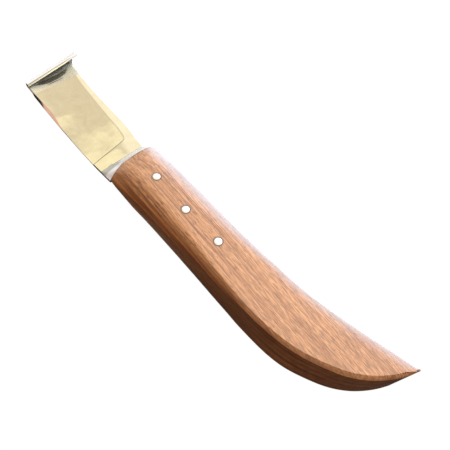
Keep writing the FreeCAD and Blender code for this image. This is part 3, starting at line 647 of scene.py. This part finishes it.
def wood_material():
    m = Nodes("wood_straight_grain")
    broad = m.noise(m.coords((0.012, 0.8, 0.8)), 0.20, 3, 0.5, 0.8)
    streak = m.noise(m.coords((0.012, 1, 0.30)), 0.9, 4, 0.60, 0.20)
    fine = m.noise(m.coords((0.013, 1, 0.17)), 2.6, 3, 0.62, 0.08)
    hair = m.noise(m.coords((0.080, 1, 0.30)), 3.6, 2, 0.5, 0.0)
    pores = m.noise(m.coords((0.095, 1, 0.22)), 3.1, 2, 0.5, 0.06)
    base = m.ramp(streak, [(0.30, (0.485, 0.216, 0.094)), (0.45, (0.625, 0.306, 0.140)), (0.56, (0.690, 0.356, 0.174)), (0.72, (0.738, 0.405, 0.210))])
    tone = m.ramp(broad, [(0.30, (0.80, 0.74, 0.70)), (0.62, (1.0, 1.0, 1.0))])
    col = m.mix(1.0, base, tone, "MULTIPLY")
    # flat faces show fine lines and short pores, the sides show long layers
    geo = m.t.nodes.new("ShaderNodeNewGeometry")
    ns = m.t.nodes.new("ShaderNodeSeparateXYZ")
    m.link(geo.outputs["Normal"], ns.inputs[0])
    up = m.math("MULTIPLY", m.math("SUBTRACT", m.math("ABSOLUTE", ns.outputs[2]), 0.25), 2.2, clamp=True)
    flank = m.math("SUBTRACT", 1.0, up)
    o = m.xyz()
    butt = m.math("DIVIDE", m.math("SUBTRACT", (OX - 30.0) * MM, o[0]), 45.0 * MM, clamp=True)
    f2 = m.ramp(fine, [(0.41, (0.42, 0.33, 0.27)), (0.51, (1.0, 1.0, 1.0))])
    wf = m.math("MULTIPLY", m.math("SUBTRACT", 0.92, m.math("MULTIPLY", butt, 0.50)), m.math("ADD", 0.25, m.math("MULTIPLY", up, 0.75)))
    col = m.mix(wf, col, f2, "MULTIPLY")
    pm = m.ramp(pores, [(0.575, 0.0), (0.64, 1.0)])
    hw = m.math("MULTIPLY", up, m.math("ADD", 0.55, m.math("MULTIPLY", butt, 0.45)))
    col = m.mix(m.math("MULTIPLY", m.ramp(hair, [(0.42, 0.62), (0.56, 0.0)]), hw), col, (0.16, 0.07, 0.035))
    layers = m.noise(m.coords((0.010, 0.03, 1)), 0.95, 4, 0.68, 0.15)
    l2 = m.ramp(layers, [(0.40, (0.42, 0.28, 0.20)), (0.56, (1.45, 1.28, 1.10))])
    col = m.mix(m.math("MULTIPLY", flank, 0.85), col, l2, "MULTIPLY")
    # painted shade: the sides are also made darker and redder than the flat faces
    col = m.mix(m.math("MULTIPLY", flank, 0.75), col, (0.96, 0.78, 0.60), "MULTIPLY")
    pw = m.math("MULTIPLY", m.math("MULTIPLY", pm, m.math("SUBTRACT", 0.75, m.math("MULTIPLY", butt, 0.20))), m.math("ADD", 0.2, m.math("MULTIPLY", up, 0.8)))
    col = m.mix(pw, col, (0.130, 0.050, 0.024))
    # painted sheen: faces of the top and bottom that tilt to the spine side are mixed towards grey, standing in for the
    # haze of reflected light
    painted_spine_sheen = m.math("MULTIPLY", m.math("SUBTRACT", m.math("MULTIPLY", ns.outputs[1], -1.0), 0.10), 3.0, clamp=True)
    col = m.mix(m.math("MULTIPLY", m.math("MULTIPLY", painted_spine_sheen, up), 0.62), col, (0.325, 0.262, 0.236))
    # painted shade: a dark ring round each pin stands in for the shaded gap at the hole
    pin_gap_shade = None
    for px, py in PINS:
        dx = m.math("SUBTRACT", o[0], (px + OX) * MM)
        dy = m.math("SUBTRACT", o[1], (py + OY) * MM)
        d = m.math("SQRT", m.math("ADD", m.math("MULTIPLY", dx, dx), m.math("MULTIPLY", dy, dy)))
        k = m.math("SUBTRACT", 1.0, m.math("DIVIDE", m.math("ABSOLUTE", m.math("SUBTRACT", d, 1.76 * MM)), 0.58 * MM), clamp=True)
        pin_gap_shade = k if pin_gap_shade is None else m.math("MAXIMUM", pin_gap_shade, k)
    col = m.mix(m.math("MULTIPLY", pin_gap_shade, 0.92), col, (0.030, 0.016, 0.012))
    # painted shade: a dark band on the wood along the joint with the steel
    jx = m.math("ADD", m.math("MULTIPLY", o[0], 1 / MM), m.math("MULTIPLY", o[1], -JOINT_SLANT / MM))
    jd = m.math("SUBTRACT", JOINT_X + OX - JOINT_SLANT * OY, jx)
    joint_shade = m.math("SUBTRACT", 1.0, m.math("DIVIDE", jd, 0.40), clamp=True)
    col = m.mix(m.math("MULTIPLY", joint_shade, 0.80), col, (0.050, 0.032, 0.024))
    m.link(col, m.bsdf.inputs["Base Color"])
    rough = m.math("ADD", m.math("MULTIPLY", pm, 0.20), m.math("ADD", 0.40, m.math("MULTIPLY", fine, 0.14)))
    m.link(rough, m.bsdf.inputs["Roughness"])
    h = m.math("SUBTRACT", m.math("MULTIPLY", fine, 0.35), pm)
    m.link(m.bump(h, 0.30, 0.00005), m.bsdf.inputs["Normal"])
    m.bsdf.inputs["Specular IOR Level"].default_value = 0.9
    m.bsdf.inputs["Coat Weight"].default_value = 1.0
    m.bsdf.inputs["Coat Roughness"].default_value = 0.34
    return m.mat


def steel_material():
    m = Nodes("steel_mirror_polish")
    c = m.coords((1, 1, 1))
    cl = m.coords((0.12, 1, 1))
    smudge = m.noise(c, 0.16, 4, 0.55, 0.8)
    blotch = m.noise(c, 0.55, 3, 0.55, 0.4)
    hair = m.noise(cl, 5.0, 2, 0.6, 0.0)
    col = m.ramp(smudge, [(0.30, (0.86, 0.83, 0.76)), (0.70, (0.95, 0.925, 0.875))])
    # painted zones: r = ground steel, rougher, and also painted pale and part dielectric as a painted highlight; g =
    # painted dark reflection and shade; b = cream highlight and brown dark reflection in place of white and grey-green
    at = m.t.nodes.new("ShaderNodeAttribute")
    at.attribute_name = "zone"
    sep = m.t.nodes.new("ShaderNodeSeparateColor")
    m.link(at.outputs["Color"], sep.inputs[0])
    zr, zg, zb = sep.outputs
    pale_ground_tint = m.mix(zb, (0.93, 0.94, 0.985), (0.93, 0.96, 0.72))
    col = m.mix(zr, col, pale_ground_tint)
    dark_reflection_tint = m.mix(zb, (0.36, 0.365, 0.30), (0.18, 0.105, 0.040))
    col = m.mix(m.math("MULTIPLY", zg, 0.92), col, dark_reflection_tint)
    m.link(col, m.bsdf.inputs["Base Color"])
    m.link(m.math("SUBTRACT", 1.0, m.math("MULTIPLY", zr, 0.75)), m.bsdf.inputs["Metallic"])
    r = m.math("ADD", 0.060, m.math("ADD", m.math("MULTIPLY", m.ramp(blotch, [(0.48, 0.0), (0.66, 1.0)]), 0.06), m.math("MULTIPLY", hair, 0.04)))
    r = m.math("ADD", r, m.math("ADD", m.math("MULTIPLY", zr, 0.30), m.math("MULTIPLY", zg, 0.26)))
    m.link(r, m.bsdf.inputs["Roughness"])
    wavy = m.noise(c, 0.085, 2, 0.5, 0.3)
    n = m.bump(wavy, 0.6, 0.00016)
    n = m.bump(hair, 0.05, 0.00002, n)
    m.link(n, m.bsdf.inputs["Normal"])
    return m.mat


def pin_material():
    m = Nodes("steel_filed_pin")
    c = m.coords((0.25, 1, 1))
    n1 = m.noise(c, 6.0, 3, 0.6, 0.0)
    blot = m.noise(m.coords((1, 1, 1)), 0.9, 3, 0.6, 0.5)
    col = m.ramp(blot, [(0.35, (0.78, 0.81, 0.88)), (0.65, (0.90, 0.93, 1.0))])
    m.link(col, m.bsdf.inputs["Base Color"])
    m.bsdf.inputs["Metallic"].default_value = 1.0
    m.link(m.math("ADD", 0.22, m.math("MULTIPLY", n1, 0.16)), m.bsdf.inputs["Roughness"])
    m.link(m.bump(n1, 0.25, 0.00003), m.bsdf.inputs["Normal"])
    return m.mat


def epoxy_material():
    m = Nodes("epoxy_amber")
    c = m.coords((1, 1, 1))
    n1 = m.noise(c, 0.8, 3, 0.6, 0.4)
    m.link(m.ramp(n1, [(0.3, (0.16, 0.08, 0.03)), (0.7, (0.26, 0.15, 0.06))]), m.bsdf.inputs["Base Color"])
    m.link(m.math("ADD", 0.25, m.math("MULTIPLY", n1, 0.2)), m.bsdf.inputs["Roughness"])
    m.link(m.bump(n1, 0.2, 0.0001), m.bsdf.inputs["Normal"])
    return m.mat


PINS = [(0.0, 0.0), (-18.6, -0.2), (-36.6, -1.6)]
wood = wood_material()
steel = steel_material()
pinm = pin_material()
epoxy = epoxy_material()


def paint(ob, mat):
    ob.data.materials.clear()
    ob.data.materials.append(mat)


handle = handle_object()
paint(handle, wood)
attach(handle, "root")
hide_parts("handle")

blade = blade_object()
paint(blade, steel)
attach(blade, "root")
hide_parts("blade")

for name, (px, py) in zip(("pin_front", "pin_middle", "pin_rear"), PINS):
    p = pin_object(name + "_filed", px, py)
    paint(p, pinm)
    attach(p, "root")
    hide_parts(name)

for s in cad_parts["tang_epoxy_bed"].material_slots:
    s.material = epoxy


# ------------------------------------------------------------------ stage
def stage_plane(name, size, loc, mat):
    me = bpy.data.meshes.new(name)
    s = size / 2
    me.from_pydata([(-s, -s, 0), (s, -s, 0), (s, s, 0), (-s, s, 0)], [], [(0, 1, 2, 3)])
    ob = bpy.data.objects.new(name, me)
    ob.location = loc
    bpy.context.scene.collection.objects.link(ob)
    me.materials.append(mat)
    return ob


fl = bpy.data.materials.new("floor_white")
fl.use_nodes = True
nt = fl.node_tree
nt.nodes.clear()
o_ = nt.nodes.new("ShaderNodeOutputMaterial")
em = nt.nodes.new("ShaderNodeEmission")
em.inputs[0].default_value = (1, 1, 1, 1)
em.inputs[1].default_value = 0.985
df = nt.nodes.new("ShaderNodeBsdfDiffuse")
df.inputs[0].default_value = (0.05, 0.05, 0.05, 1)
ad = nt.nodes.new("ShaderNodeAddShader")
nt.links.new(em.outputs[0], ad.inputs[0])
nt.links.new(df.outputs[0], ad.inputs[1])
nt.links.new(ad.outputs[0], o_.inputs[0])
floor = stage_plane("floor", 6.0, (0, 0, -0.0002), fl)
floor.visible_diffuse = False
floor.visible_glossy = False

# world: what the polished steel sees. Directions are in the row frame.
w = bpy.data.worlds.new("studio")
bpy.context.scene.world = w
w.use_nodes = True
wt = w.node_tree
wt.nodes.clear()
wo = wt.nodes.new("ShaderNodeOutputWorld")
bg = wt.nodes.new("ShaderNodeBackground")
bgc = wt.nodes.new("ShaderNodeBackground")
bgc.inputs[0].default_value = (1, 1, 1, 1)
lp = wt.nodes.new("ShaderNodeLightPath")
mx = wt.nodes.new("ShaderNodeMixShader")
wt.links.new(lp.outputs["Is Camera Ray"], mx.inputs[0])
wt.links.new(bg.outputs[0], mx.inputs[1])
wt.links.new(bgc.outputs[0], mx.inputs[2])
bgd = wt.nodes.new("ShaderNodeBackground")
dn = wt.nodes.new("ShaderNodeMapRange")
dn.interpolation_type = "SMOOTHSTEP"
dn.inputs[1].default_value = 0.18
dn.inputs[2].default_value = 1.0
dc = wt.nodes.new("ShaderNodeMix")
dc.data_type = "RGBA"
dc.inputs[6].default_value = (0.016, 0.008, 0.005, 1)
dc.inputs[7].default_value = (0.68, 0.50, 0.38, 1)
wt.links.new(dn.outputs[0], dc.inputs[0])
wt.links.new(dc.outputs[2], bgd.inputs[0])
md = wt.nodes.new("ShaderNodeMixShader")
wt.links.new(lp.outputs["Is Diffuse Ray"], md.inputs[0])
wt.links.new(mx.outputs[0], md.inputs[1])
wt.links.new(bgd.outputs[0], md.inputs[2])
wt.links.new(md.outputs[0], wo.inputs[0])
tc = wt.nodes.new("ShaderNodeTexCoord")
sp = wt.nodes.new("ShaderNodeSeparateXYZ")
wt.links.new(tc.outputs["Generated"], sp.inputs[0])
wt.links.new(sp.outputs[2], dn.inputs[0])


def wmath(op, a, b, clamp=False):
    n = wt.nodes.new("ShaderNodeMath")
    n.operation = op
    n.use_clamp = clamp
    for i, q in enumerate((a, b)):
        if isinstance(q, (int, float)):
            n.inputs[i].default_value = q
        else:
            wt.links.new(q, n.inputs[i])
    return n.outputs[0]


def wstep(v, lo, hi):
    n = wt.nodes.new("ShaderNodeMapRange")
    n.interpolation_type = "SMOOTHSTEP"
    n.inputs[1].default_value = lo
    n.inputs[2].default_value = hi
    wt.links.new(v, n.inputs[0])
    return n.outputs[0]


def wmix(f, a, b):
    n = wt.nodes.new("ShaderNodeMix")
    n.data_type = "RGBA"
    for sock, q in ((n.inputs[0], f), (n.inputs[6], a), (n.inputs[7], b)):
        if isinstance(q, (int, float)):
            sock.default_value = q
        elif hasattr(q, "__len__"):
            sock.default_value = (q[0], q[1], q[2], 1)
        else:
            wt.links.new(q, sock)
    return n.outputs[2]


X, Y, Z = sp.outputs
DARK = (0.030, 0.026, 0.024)
KHAKI = (0.80, 0.69, 0.46)
CREAM = (1.08, 0.95, 0.60)
BRIGHT = (1.12, 1.00, 0.72)
neg_x, neg_y, neg_z = (wmath("MULTIPLY", q, -1.0) for q in (X, Y, Z))
col = wmix(wstep(Z, 0.30, 0.52), DARK, KHAKI)
# overhead panel, with a tilted edge
col = wmix(wstep(wmath("ADD", Z, wmath("MULTIPLY", Y, 0.15)), 0.781, 0.790), col, CREAM)
col = wmix(wstep(Y, -0.036, -0.020), col, CREAM)
# the window side, past the spine
col = wmix(wstep(neg_y, 0.235, 0.30), col, BRIGHT)
win = wmath("MULTIPLY", wstep(neg_y, 0.45, 0.60), wstep(Z, -0.35, -0.10))
col = wmix(win, col, (3.3, 3.45, 3.85))
# the dim side, past the belly: warm patch low down, black elsewhere
warm = wmath("MULTIPLY", wstep(Z, 0.30, 0.40), wmath("MULTIPLY", wstep(X, 0.40, 0.50), wmath("SUBTRACT", 1.0, wstep(X, 0.70, 0.75))))
warm = wmath("MULTIPLY", warm, wstep(Y, 0.42, 0.48))
dim = wmix(warm, (0.022, 0.018, 0.014), (0.84, 0.49, 0.38))
soft = wmath("MULTIPLY", wstep(Z, -0.05, 0.05), wmath("MULTIPLY", wstep(X, 0.55, 0.65), wmath("SUBTRACT", 1.0, wstep(Y, 0.40, 0.46))))
dim = wmix(soft, dim, (0.62, 0.64, 0.58))
col = wmix(wstep(Y, 0.20, 0.42), col, dim)
# behind the handle
col = wmix(wstep(neg_x, 0.20, 0.50), col, (0.12, 0.115, 0.11))
# bench: bright ahead of the knife, dark beside it
low = wmix(wstep(X, 0.25, 0.45), (0.050, 0.040, 0.032), (0.95, 0.95, 0.94))
low = wmix(wmath("MULTIPLY", wstep(X, 0.25, 0.45), wstep(Y, -0.16, -0.06)), low, (0.40, 0.42, 0.36))
low = wmix(wstep(Y, 0.08, 0.18), low, (0.030, 0.026, 0.022))
col = wmix(wstep(neg_z, 0.06, 0.20), col, low)
low_win = wmath("MULTIPLY", wstep(neg_y, 0.48, 0.62), wstep(neg_z, 0.06, 0.20))
col = wmix(low_win, col, (2.2, 2.45, 2.9))
# straight ahead, near the horizon: grey-green card with a white one beside it
card = wmix(wstep(Y, 0.04, 0.16), (0.42, 0.45, 0.40), (1.0, 1.0, 0.98))
col = wmix(wstep(X, 0.86, 0.92), col, card)
wt.links.new(col, bg.inputs[0])
bg.inputs[1].default_value = 1.0


def area(name, loc, target, size, power, color):
    li = bpy.data.lights.new(name, "AREA")
    li.shape = "RECTANGLE"
    li.size, li.size_y = size
    li.energy = power
    li.color = color
    ob = bpy.data.objects.new(name, li)
    ob.location = loc
    d = Vector(target) - Vector(loc)
    ob.rotation_euler = d.to_track_quat("-Z", "Y").to_euler()
    bpy.context.scene.collection.objects.link(ob)
    return ob


key = area("key_soft", (-0.045, 0.03, 0.63), (-0.02, 0, 0.01), (0.40, 0.26), 3.00, (1.0, 1.0, 1.0))
key.visible_glossy = False

# ------------------------------------------------------------------ camera
cam = bpy.data.cameras.new("camera")
cam.lens = 472.0 / 450.0 * 36.0
cam.sensor_width = 36.0
cam.sensor_height = 36.0
cam.sensor_fit = "HORIZONTAL"
cam.shift_x = -0.17 / 450.0
cam.shift_y = 0.63 / 450.0
cam.clip_start = 0.005
cam.clip_end = 20.0
co = bpy.data.objects.new("camera", cam)
bpy.context.scene.collection.objects.link(co)
right = Vector((-0.6358729, -0.7579693, 0.1454245)).normalized()
down = Vector((-0.7109298, 0.5018953, -0.4926255)).normalized()
fwd = Vector((0.3004071, -0.4166338, -0.8580046)).normalized()
rot = Matrix((right, -down, -fwd)).transposed()
pos = Vector(((-86.848 + OX) * MM, (66.672 + OY) * MM, 176.0 * MM))
co.matrix_world = Matrix.Translation(pos) @ rot.to_4x4()
bpy.context.scene.camera = co
vs = bpy.context.scene.view_settings
vs.view_transform = "Standard"
vs.look = "None"
vs.exposure = 0.0
vs.gamma = 1.0
